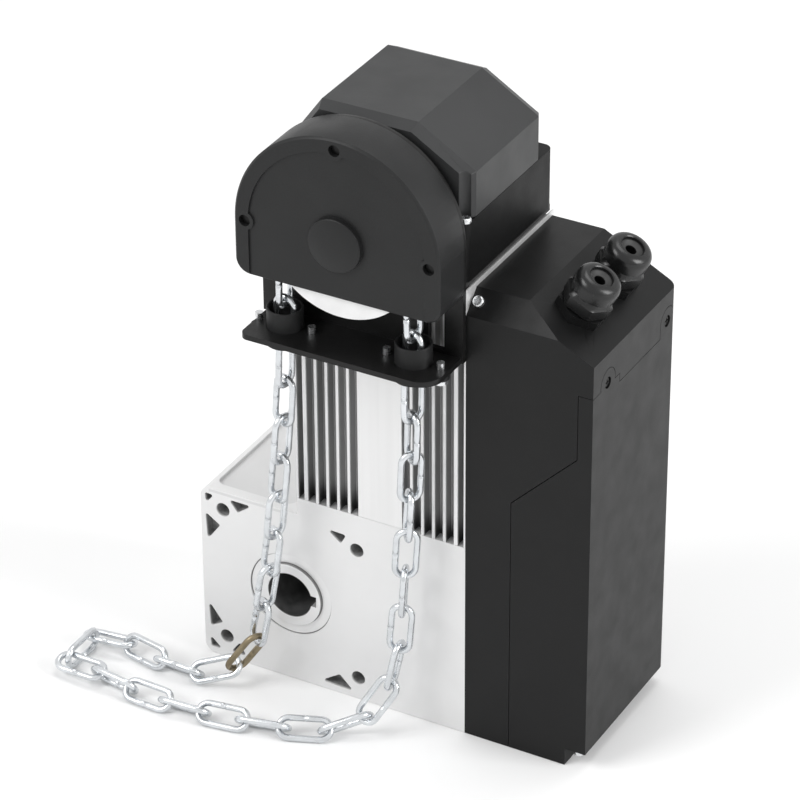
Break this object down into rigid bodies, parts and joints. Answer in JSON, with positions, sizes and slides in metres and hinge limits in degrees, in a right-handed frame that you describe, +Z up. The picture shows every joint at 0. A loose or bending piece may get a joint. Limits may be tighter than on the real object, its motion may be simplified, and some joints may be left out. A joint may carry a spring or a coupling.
{
  "type": "industrial door operator",
  "caption": "Shaft-mounted sectional door operator: worm gearbox with a keyed hollow shaft, upright finned motor, hand-chain hoist under a D-shaped cover and a side control box.",
  "frame": {"origin": "centre of the output bore on the gearbox's front face", "axes": "+X to the control box, +Y along the bore from the front to the back, +Z up the motor"},
  "size_m": [0.2865, 0.1566, 0.3453],
  "materials": {
    "cast_aluminium": "sand-cast and machined, light grey, satin",
    "finned_aluminium": "extruded, bright satin",
    "black_plastic": "fine-textured black moulding",
    "guide_plastic": "smooth black moulding",
    "gland_plastic": "smooth black nylon",
    "grey_plastic": "grey moulding",
    "wheel_plastic": "white moulding",
    "black_steel": "satin black powder coat",
    "ground_steel": "ground and oiled",
    "electrical_steel": "varnished sheet stack",
    "zinc_steel": "bright zinc plate",
    "zinc_chain": "zinc-plated welded wire",
    "repair_steel": "olive passivated wire",
    "bronze": "cast bronze",
    "winding_copper": "varnished copper wire",
    "black_rubber": "smooth black rubber",
    "circuit_board": "green solder mask"
  },
  "bodies": {
    "housing": {"gearbox_housing": "cast_aluminium", "gearbox_rear_cover": "cast_aluminium", "rear_cover_screws": "zinc_steel", "front_oil_seal": "zinc_steel", "rear_oil_seal": "zinc_steel", "hood_screw": "zinc_steel", "box_screws": "zinc_steel", "front_output_bearing": "ground_steel", "rear_output_bearing": "ground_steel", "lower_motor_bearing": "ground_steel", "middle_motor_bearing": "ground_steel", "upper_motor_bearing": "ground_steel", "motor_body": "finned_aluminium", "stator_core": "electrical_steel", "stator_windings": "winding_copper", "motor_end_shield": "cast_aluminium", "head_gasket": "black_rubber", "drive_base": "black_plastic", "drive_hood": "black_plastic", "hoist_bearing": "ground_steel", "hoist_bracket": "black_steel", "hoist_cover": "black_plastic", "cover_screws": "zinc_steel", "left_chain_guide": "guide_plastic", "right_chain_guide": "guide_plastic", "guide_screws": "zinc_steel", "hand_chain": "zinc_chain", "repair_link": "repair_steel", "control_housing": "black_plastic", "control_cover": "black_plastic", "control_board": "circuit_board", "board_spacers": "zinc_steel", "transformer": "electrical_steel", "contactors": "grey_plastic", "terminal_strip": "grey_plastic", "front_gland_body": "gland_plastic", "front_gland_nut": "gland_plastic", "front_gland_seal": "black_rubber", "rear_gland_body": "gland_plastic", "rear_gland_nut": "gland_plastic", "rear_gland_seal": "black_rubber", "gland_locknuts": "gland_plastic"},
    "output": {"output_shaft": "ground_steel", "worm_wheel": "bronze"},
    "motor_rotor": {"worm_shaft": "ground_steel", "rotor_core": "electrical_steel", "bevel_pinion": "ground_steel"},
    "hoist": {"chain_wheel": "wheel_plastic", "hoist_shaft": "ground_steel", "bevel_gear": "ground_steel"}
  },
  "joints": [
    {"name": "motor_spin", "type": "hinge", "parent": "housing", "child": "motor_rotor", "pos_m": [0.0465, 0.04675, 0], "axis": [0, 0, 1], "continuous": true},
    {"name": "output_spin", "type": "hinge", "parent": "housing", "child": "output", "pos_m": [0, 0.04675, 0], "axis": [0, 1, 0], "continuous": true},
    {"name": "hoist_spin", "type": "hinge", "parent": "housing", "child": "hoist", "pos_m": [0.0465, 0, 0.235], "axis": [0, 1, 0], "continuous": true}
  ],
  "couplings": [
    {"joint": "output_spin", "follows": "motor_spin", "ratio": 0.027778},
    {"joint": "hoist_spin", "follows": "motor_spin", "ratio": -1}
  ]
}
